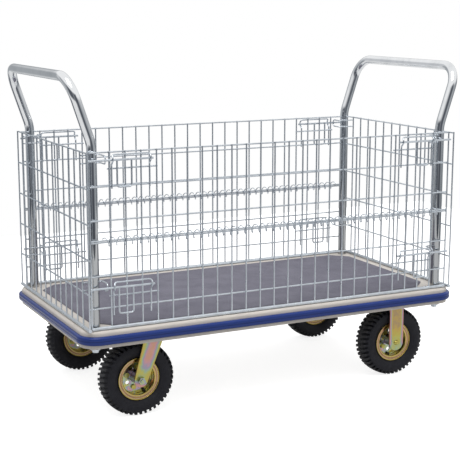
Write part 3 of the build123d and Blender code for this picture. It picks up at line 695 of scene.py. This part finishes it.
rodY = sideY + cage["uprightWire"] / 2 + bolt["slideGap"] + bolt["rod"] / 2
legX = endX - handleTube["insetX"]
legY = sideY - handleTube["insetY"]
endEdgeY = endHalf - cage["uprightWire"] / 2
keeperX = legX - handleTube["diameter"] / 2 - keeper["legReach"]
keeperFrontY = rodY - bolt["rod"] / 2 - keeper["room"] - keeper["wire"] / 2
keeperY = legY - handleTube["diameter"] / 2 - handleTube["room"] - keeper["wire"] / 2


def keeperLoop(side, height):
    start, front = side * keeperY, side * keeperFrontY
    high, low = height + keeper["halfHeight"], height - keeper["halfHeight"]
    weldX = endX - cage["uprightWire"] / 2 - keeper["runGap"]
    points = [(-weldX, start, high), (-keeperX, start, high), (-keeperX, front, high),
              (-keeperX, front, low), (-keeperX, start, low), (-weldX, start, low)]
    return (points, [keeper["bend"]] * 4)


def endPanel(name, node, right):
    inner = [keeperY * (2 * k / cage["endBays"] - 1) for k in range(cage["endBays"] + 1)]
    places = [-endEdgeY, *inner, endEdgeY]
    top = cageTop + cage["rowWire"] / 2
    uprights = [straight((-endX, y, cageBase), (-endX, y, top)) for y in places]
    rowX = endX - (cage["uprightWire"] + cage["rowWire"]) / 2 + cage["weldSink"]
    levels = [cageBase + (cageTop - cageBase) * k / cage["endRows"]
              for k in range(1, cage["endRows"] + 1)]
    rows = [straight((-rowX, -endHalf, z), (-rowX, endHalf, z)) for z in levels]
    rail = [straight((-endX, -endHalf, cageBase), (-endX, endHalf, cageBase))]
    loops = [keeperLoop(side, z) for side in (-1, 1) for z in (lowerRod, upperRod)]
    spots = [(-(endX + rowX) / 2, y, z) for y in places for z in levels]
    if right:
        uprights, rows, rail, loops = [turnRuns(runs) for runs in (uprights, rows, rail, loops)]
        spots = [(-x, -y, z) for x, y, z in spots]
    parts = [tubeMesh(name + "Uprights", cage["uprightWire"], uprights),
             tubeMesh(name + "Rows", cage["rowWire"], rows),
             tubeMesh(name + "Rail", cage["railWire"], rail, cage["railRoundness"]),
             tubeMesh(name + "Loops", keeper["wire"], loops),
             weldSpots(name + "Welds", spots, cage["weldSize"])]
    placePiece(name, joinMeshes(name, parts), zincWire, "wire_zinc", bodyOf[node], node)


endPanel("leftEndPanel", "end_panel_left", False)
endPanel("rightEndPanel", "end_panel_right", True)
print("end panels made")


# Coil hinges: one wire wound round both edge wires, two turns to a bay

coil = dict(wire=0.003, roundness=3, room=0.0003, turnsPerBay=2, overrun=0.45,
            hingeRoom=0.00085, pointsPerTurn=20)


def coilHinge(name, node, back):
    hingeY = sideY + cage["uprightWire"] / 2 + coil["hingeRoom"]
    inner = math.hypot(hingeY - edgeY, edgeRise) + cage["edgeWire"] / 2 + coil["room"]
    radius = inner + coil["wire"] / 2
    pitch = bay / coil["turnsPerBay"]
    first = -coil["overrun"] * coil["turnsPerBay"]
    last = (cage["sideBays"] + coil["overrun"]) * coil["turnsPerBay"]
    count = math.ceil((last - first) * coil["pointsPerTurn"])
    points = []
    for k in range(count + 1):
        turns = first + (last - first) * k / count
        angle = 2 * math.pi * turns
        points.append((pitch * turns - firstUpright, radius * math.cos(angle) - hingeY,
                       hingeHeight + radius * math.sin(angle)))
    runs = [(points, None)]
    mesh = tubeMesh(name, coil["wire"], turnRuns(runs) if back else runs, coil["roundness"])
    placePiece(name, mesh, zincWire, "wire_zinc", bodyOf[node], node)


coilHinge("frontCoil", "coil_hinge_front", False)
coilHinge("backCoil", "coil_hinge_back", True)
print("coil hinges made")


# Slide bolts and the bent guides that hold them, made at the front left and copied round

guide = dict(wire=0.0045, roundness=5, place=0.0067, bays=2.4, rise=0.0145, drop=0.078,
             bend=0.006, corner=0.008, shoulderUp=0.006, shoulderDown=0.003, returnDrop=0.013,
             runGap=0.00005)
guideX = firstUpright - guide["place"]


def boltRuns(height):
    tip = bolt["tipBack"] - endX
    left = bolt["pullPlace"] - guideX
    right = left + bolt["pullWidth"]
    low = height - bolt["pullDrop"]
    rod = straight((tip, -rodY, height), (tip + bolt["length"], -rodY, height))
    pull = [(left, -rodY, height), (left, -rodY, low), (right, -rodY, low), (right, -rodY, height)]
    return [rod], [(pull, [bolt["pullBend"]] * 2)]


def guideRuns(height):
    legPlace = rowY + (cage["rowWire"] + guide["wire"]) / 2 + guide["runGap"]
    outPlace = rodY + bolt["rod"] / 2 + bolt["slideGap"] + guide["wire"] / 2
    barPlace = sideY + (cage["uprightWire"] + guide["wire"]) / 2 + guide["runGap"]
    leg = [(legPlace, -guide["drop"]), (legPlace, -guide["returnDrop"]),
           (outPlace, -guide["shoulderDown"]), (outPlace, guide["shoulderUp"]),
           (barPlace, guide["rise"])]
    right = guide["bays"] * bay - guideX
    points = [(-guideX, -y, height + z) for y, z in leg]
    points += [(right, -y, height + z) for y, z in reversed(leg)]
    return [(points, [guide["bend"]] * 3 + [guide["corner"]] * 2 + [guide["bend"]] * 3)]


def placeRuns(runs, side, end):
    # the back is the front turned half round, so its left end is the front's right end
    if (side == "front") != (end == "left"):
        runs = flipRuns(runs)
    return turnRuns(runs) if side == "back" else runs


for level, rodHeight in (("lower", lowerRod), ("upper", upperRod)):
    for side in ("front", "back"):
        for end in ("left", "right"):
            node = "slide_bolt_" + side + "_" + end + "_" + level
            name = side + end.title() + level.title() + "Bolt"
            bar, pull = [placeRuns(runs, side, end) for runs in boltRuns(rodHeight)]
            parts = [tubeMesh(name + "Rod", bolt["rod"], bar, bolt["rodRoundness"]),
                     tubeMesh(name + "Pull", bolt["pullWire"], pull, bolt["pullRoundness"])]
            placePiece(name, joinMeshes(name, parts), zincWire, "wire_zinc", bodyOf[node], node)


def guidePiece(name, node, height, sides):
    runs = []
    for side in sides:
        for end in ("left", "right"):
            runs += placeRuns(guideRuns(height), side, end)
    mesh = tubeMesh(name, guide["wire"], runs, guide["roundness"])
    placePiece(name, mesh, zincWire, "wire_zinc", bodyOf[node], node)


guidePiece("lowerBoltGuides", "bolt_guides_lower", lowerRod, ("front", "back"))
guidePiece("frontUpperBoltGuides", "bolt_guides_front_upper", upperRod, ("front",))
guidePiece("backUpperBoltGuides", "bolt_guides_back_upper", upperRod, ("back",))
print("bolts and guides made")


# Handles: one tube each, upright to just above the cage and then leaning outwards

def handlePiece(name, node, side):
    low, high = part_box(node)
    bend = cageTop + handleTube["leanStart"]
    bar = high.z - handleTube["diameter"] / 2
    x = side * legX
    far = side * (legX + (bar - bend) * math.tan(math.radians(handleTube["lean"])))
    points = [(x, -legY, low.z), (x, -legY, bend), (far, -legY, bar), (far, legY, bar),
              (x, legY, bend), (x, legY, low.z)]
    lean, corner = handleTube["leanBend"], handleTube["corner"]
    radii = [lean, corner, corner, lean]
    mesh = tubeMesh(name, handleTube["diameter"], [(points, radii)], handleTube["roundness"],
                    handleTube["bendSteps"])
    placePiece(name, mesh, polishedChrome, "chrome_tube", bodyOf[node], node)


handlePiece("leftHandle", "handle_left", -1)
handlePiece("rightHandle", "handle_right", 1)
print("handles made")


# Mat: fine ribs along the deck, with its corners cut off

mat = dict(ribPitch=0.004, ribDepth=0.0008, cornerCut=0.052,
           profile=((0.2, "valley"), (0.35, "crest"), (0.75, "crest"), (0.9, "valley")))


def ribbedMat():
    low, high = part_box("deck_mat")
    ribs = round((high.y - low.y) / mat["ribPitch"])
    pitch = (high.y - low.y) / ribs
    levels = dict(valley=high.z - mat["ribDepth"], crest=high.z)
    rows = [(low.y, levels["valley"])]
    for k in range(ribs):
        rows += [(low.y + (k + share) * pitch, levels[level]) for share, level in mat["profile"]]
    rows.append((high.y, levels["valley"]))
    build = bmesh.new()
    lines = []
    for y, z in rows:
        reach = high.x - max(0.0, abs(y) - (high.y - mat["cornerCut"]))
        section = (-reach, y, low.z), (-reach, y, z), (reach, y, z), (reach, y, low.z)
        lines.append([build.verts.new(point) for point in section])
    for one, two in zip(lines, lines[1:]):
        for k in range(len(one)):
            after = (k + 1) % len(one)
            build.faces.new((one[k], one[after], two[after], two[k]))
    build.faces.new(lines[0])
    build.faces.new(lines[-1])
    bmesh.ops.recalc_face_normals(build, faces=build.faces)
    mesh = bpy.data.meshes.new("ribbedMat")
    build.to_mesh(mesh)
    build.free()
    placePiece("ribbedMat", mesh, greyVinyl, "mat_vinyl", bodyOf["deck_mat"], "deck_mat")


ribbedMat()
print("mat made")


# Finishes of the pieces that are shown as they come from the frame

finishes = [
    ("deck_pan", creamEnamel), ("deck_underframe", creamEnamel), ("edge_bumper", blueVinylStrip),
    ("handle_foot_bolts", zincWire), ("caster_bolts", zincBolts), ("swivel_top_plates", plateZinc),
    ("swivel_bearings", groundSteel), ("fixed_axles", plateZinc), ("swivel_axle", nutZinc),
    ("swivel_fork", swivelZinc), ("fixed_fork", fixedZinc), ("tyre", tyreRubber),
    ("inner_tube", tubeRubber), ("rim_outer", rimZinc), ("rim_inner", rimZinc),
    ("hub_bearings", groundSteel), ("rim_bolts", plateZinc)]

for node, shown in nodes.items():
    if shown.hide_render:
        continue
    finish = next(material for part, material in finishes if part in node)
    shown.data.materials.clear()
    shown.data.materials.append(finish)
print("frame pieces finished")


# Floor: glows white to the camera; in reflections it glows less, and its back left corner is
# painted dark there for the chrome to mirror

studioFloor = dict(size=5.0, colour=(0.50, 0.50, 0.50), roughness=0.9, glow=0.82, sheen=0.20,
                   corner=(0.10, 0.11, 0.13), cornerX=(-1.1, -1.5), cornerY=(0.3, 0.8))


def makeFloor():
    mesh = bpy.data.meshes.new("studioFloor")
    half = studioFloor["size"] / 2
    corners = [(-half, -half, 0), (half, -half, 0), (half, half, 0), (-half, half, 0)]
    mesh.from_pydata(corners, [], [(0, 1, 2, 3)])
    material, tree, shader = newMaterial("paleFloor", Roughness=studioFloor["roughness"])
    shader.inputs["Emission Color"].default_value = (1, 1, 1, 1)
    path = addNode(tree, "ShaderNodeLightPath")
    place = splitPlace(tree, "Object")
    # a dark patch painted on the back left corner, seen only in reflections, for the chrome to
    # mirror
    corner = mathNode(tree, "MULTIPLY", smoothSpan(tree, place["X"], *studioFloor["cornerX"]),
                      smoothSpan(tree, place["Y"], *studioFloor["cornerY"]))
    dark = mathNode(tree, "MULTIPLY", corner, path.outputs["Is Glossy Ray"])
    colour = mixColours(tree, dark, studioFloor["colour"], studioFloor["corner"])
    tree.links.new(colour, shader.inputs["Base Color"])
    seen = mathNode(tree, "MULTIPLY", path.outputs["Is Camera Ray"], studioFloor["glow"])
    lit = mathNode(tree, "SUBTRACT", path.outputs["Is Glossy Ray"], dark)
    mirrored = mathNode(tree, "MULTIPLY", lit, studioFloor["sheen"])
    tree.links.new(mathNode(tree, "ADD", seen, mirrored), shader.inputs["Emission Strength"])
    # clear from below, to show the underside
    below = addNode(tree, "ShaderNodeNewGeometry")
    clear = addNode(tree, "ShaderNodeBsdfTransparent")
    choose = addNode(tree, "ShaderNodeMixShader")
    wire(tree, below, "Backfacing", choose, "Fac")
    wire(tree, shader, "BSDF", choose, 1)
    wire(tree, clear, "BSDF", choose, 2)
    wire(tree, choose, "Shader", tree.nodes["Material Output"], "Surface")
    mesh.materials.append(material)
    floor = bpy.data.objects.new("studioFloor", mesh)
    scene.collection.objects.link(floor)


# Surround: white to the camera and overhead, with darker strips low down for the chrome to mirror
# A strip's place is a share of a full turn, from the front over the left, back and right

surround = dict(
    backdrop=(1.0, 1.0, 1.0), overhead=(1.0, 1.0, 1.0), strength=1.0,
    tones=dict(bright=(0.64, 0.65, 0.67), pale=(0.40, 0.42, 0.44), middle=(0.24, 0.25, 0.27),
               dim=(0.10, 0.11, 0.13)),
    strips=((0.0, "dim"), (0.05, "dim"), (0.07, "middle"), (0.10, "middle"), (0.115, "dim"),
            (0.24, "dim"), (0.29, "pale"), (0.37, "pale"), (0.385, "bright"), (0.415, "bright"),
            (0.43, "pale"), (0.70, "pale"), (0.73, "dim"), (0.76, "dim"), (0.79, "pale"),
            (0.91, "pale"), (0.95, "dim"), (1.0, "dim")),
    overheadSpan=(0.20, 0.44), rightStart=(0.58, 0.66), rightEnd=(0.92, 0.99),
    rightSpan=(-0.02, 0.30))


def makeSurround():
    world = bpy.data.worlds.new("studioSurround")
    world.use_nodes = True
    scene.world = world
    tree = world.node_tree
    tree.nodes.clear()
    place = splitPlace(tree, "Generated")
    bearing = mathNode(tree, "ARCTAN2", place["X"], place["Y"])
    turn = mathNode(tree, "ADD", mathNode(tree, "DIVIDE", bearing, 2 * math.pi), 0.5)
    strips = addNode(tree, "ShaderNodeValToRGB")
    stops = [(share, surround["tones"][tone]) for share, tone in surround["strips"]]
    fillRamp(strips.color_ramp, stops)
    tree.links.new(turn, strips.inputs["Fac"])
    steepness = mathNode(tree, "ABSOLUTE", place["Z"])
    high = smoothSpan(tree, steepness, *surround["overheadSpan"])
    toRight = mathNode(tree, "SUBTRACT", smoothSpan(tree, turn, *surround["rightStart"]),
                       smoothSpan(tree, turn, *surround["rightEnd"]))
    rightGlow = mathNode(tree, "MULTIPLY", toRight,
                         smoothSpan(tree, place["Z"], *surround["rightSpan"]))
    lift = mathNode(tree, "MAXIMUM", high, rightGlow)
    around = mixColours(tree, lift, strips.outputs["Color"], surround["overhead"])
    soft = addNode(tree, "ShaderNodeBackground", {"Strength": surround["strength"]})
    tree.links.new(around, soft.inputs["Color"])
    plain = addNode(tree, "ShaderNodeBackground", {"Color": (*surround["backdrop"], 1)})
    path = addNode(tree, "ShaderNodeLightPath")
    choose = addNode(tree, "ShaderNodeMixShader")
    output = addNode(tree, "ShaderNodeOutputWorld")
    wire(tree, path, "Is Camera Ray", choose, "Fac")
    wire(tree, soft, "Background", choose, 1)
    wire(tree, plain, "Background", choose, 2)
    wire(tree, choose, "Shader", output, "Surface")


# Lamps: two large soft ones overhead, of which only the key lamp is mirrored

lamps = dict(
    keyLamp=dict(place=(-1.2, -1.6, 4.5), power=95.0, mirrored=True),
    fillLamp=dict(place=(2.4, -1.0, 4.0), power=40.0, mirrored=False))
lampAim = dict(target=(0, 0, 0.5), size=2.4)


def addLamp(name, place, power, mirrored):
    lamp = bpy.data.lights.new(name, "AREA")
    lamp.shape = "SQUARE"
    lamp.size = lampAim["size"]
    lamp.energy = power
    holder = bpy.data.objects.new(name, lamp)
    holder.location = place
    heading = Vector(lampAim["target"]) - Vector(place)
    holder.rotation_euler = heading.to_track_quat("-Z", "Y").to_euler()
    holder.visible_glossy = mirrored
    scene.collection.objects.link(holder)


makeFloor()
makeSurround()
for name, lamp in lamps.items():
    addLamp(name, **lamp)
scene.view_settings.view_transform = "Standard"
print("studio lit")


# Camera, from the photograph's viewing angle

camera = dict(eye=(-1.6517, -3.2877, 1.1567), azimuth=-26.444, elevation=10.747,
              focalPixels=1188.5, frameWidth=460, sensor=36.0, farClip=200)


def makeCamera():
    lens = bpy.data.cameras.new("photoCamera")
    lens.sensor_width = camera["sensor"]
    lens.lens = camera["focalPixels"] / camera["frameWidth"] * camera["sensor"]
    lens.clip_end = camera["farClip"]
    holder = bpy.data.objects.new("photoCamera", lens)
    turn, rise = math.radians(camera["azimuth"]), math.radians(camera["elevation"])
    back = Vector((math.sin(turn) * math.cos(rise), -math.cos(turn) * math.cos(rise),
                   math.sin(rise)))
    holder.location = camera["eye"]
    holder.rotation_mode = "QUATERNION"
    holder.rotation_quaternion = (-back).to_track_quat("-Z", "Y")
    scene.collection.objects.link(holder)
    scene.camera = holder


makeCamera()
